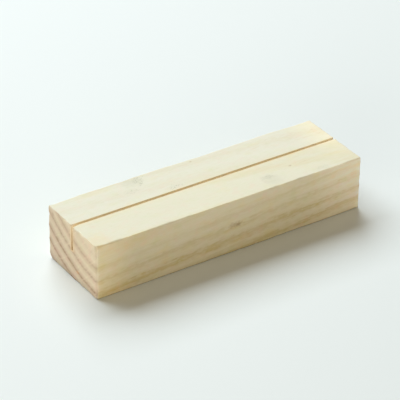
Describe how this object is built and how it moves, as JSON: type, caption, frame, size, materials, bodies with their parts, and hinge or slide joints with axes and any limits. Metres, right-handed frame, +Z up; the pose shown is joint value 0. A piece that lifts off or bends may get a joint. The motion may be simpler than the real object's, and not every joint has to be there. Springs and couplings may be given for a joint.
{
  "type": "slotted card holder",
  "caption": "Rectangular block of bare pine with a narrow saw-cut slot along the whole length of its top, which stands up a card, note or photo.",
  "frame": {"origin": "middle of the face that the block stands on", "axes": "+X along the block and its slot, +Y from the front face to the back face, which the slot lies nearer to, +Z up"},
  "size_m": [0.104, 0.03, 0.02],
  "materials": {
    "pine": "bare, planed on the long faces and sawn on the ends"
  },
  "bodies": {
    "root": {"slotted_block": "pine"}
  },
  "joints": []
}
